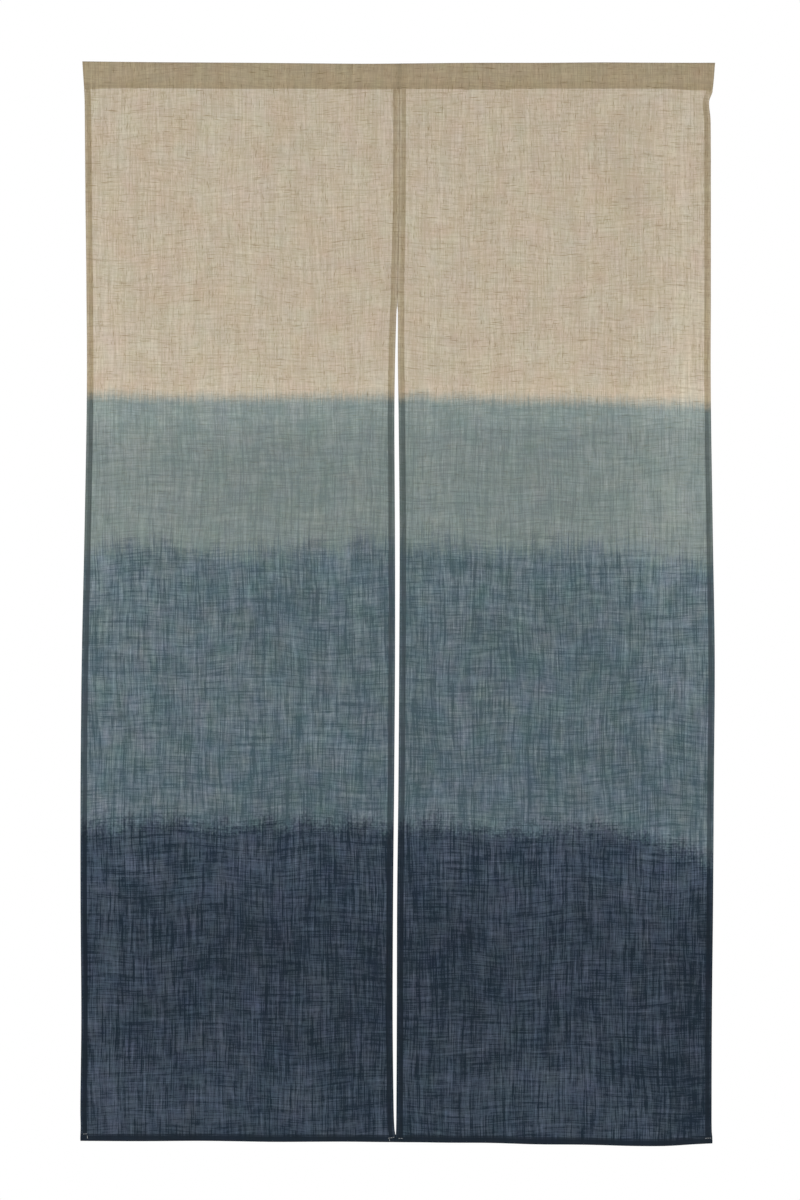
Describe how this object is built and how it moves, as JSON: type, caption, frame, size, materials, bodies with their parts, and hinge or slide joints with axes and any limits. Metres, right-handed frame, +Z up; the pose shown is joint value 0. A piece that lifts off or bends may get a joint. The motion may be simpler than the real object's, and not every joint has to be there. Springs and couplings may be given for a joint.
{
  "type": "noren curtain",
  "caption": "Split doorway curtain of slub-woven cloth, dip-dyed from natural beige down to navy, hanging flat from a rod sleeve, with narrow hems and an open centre slit.",
  "frame": {"origin": "where the centre seam meets the top edge, on which the curtain hangs", "axes": "+X to the right as seen from the front, +Y to the back of the cloth, +Z up; the front faces -Y and the cloth hangs towards -Z"},
  "size_m": [0.8807, 0.0141, 1.5051],
  "materials": {
    "dyed_cloth": "matt slubbed plain weave, dyed in level steps from beige to navy",
    "natural_cloth": "matt slubbed plain weave, undyed beige"
  },
  "bodies": {
    "root": {"left_panel": "dyed_cloth", "right_panel": "dyed_cloth", "left_sleeve": "natural_cloth", "right_sleeve": "natural_cloth"}
  },
  "joints": []
}
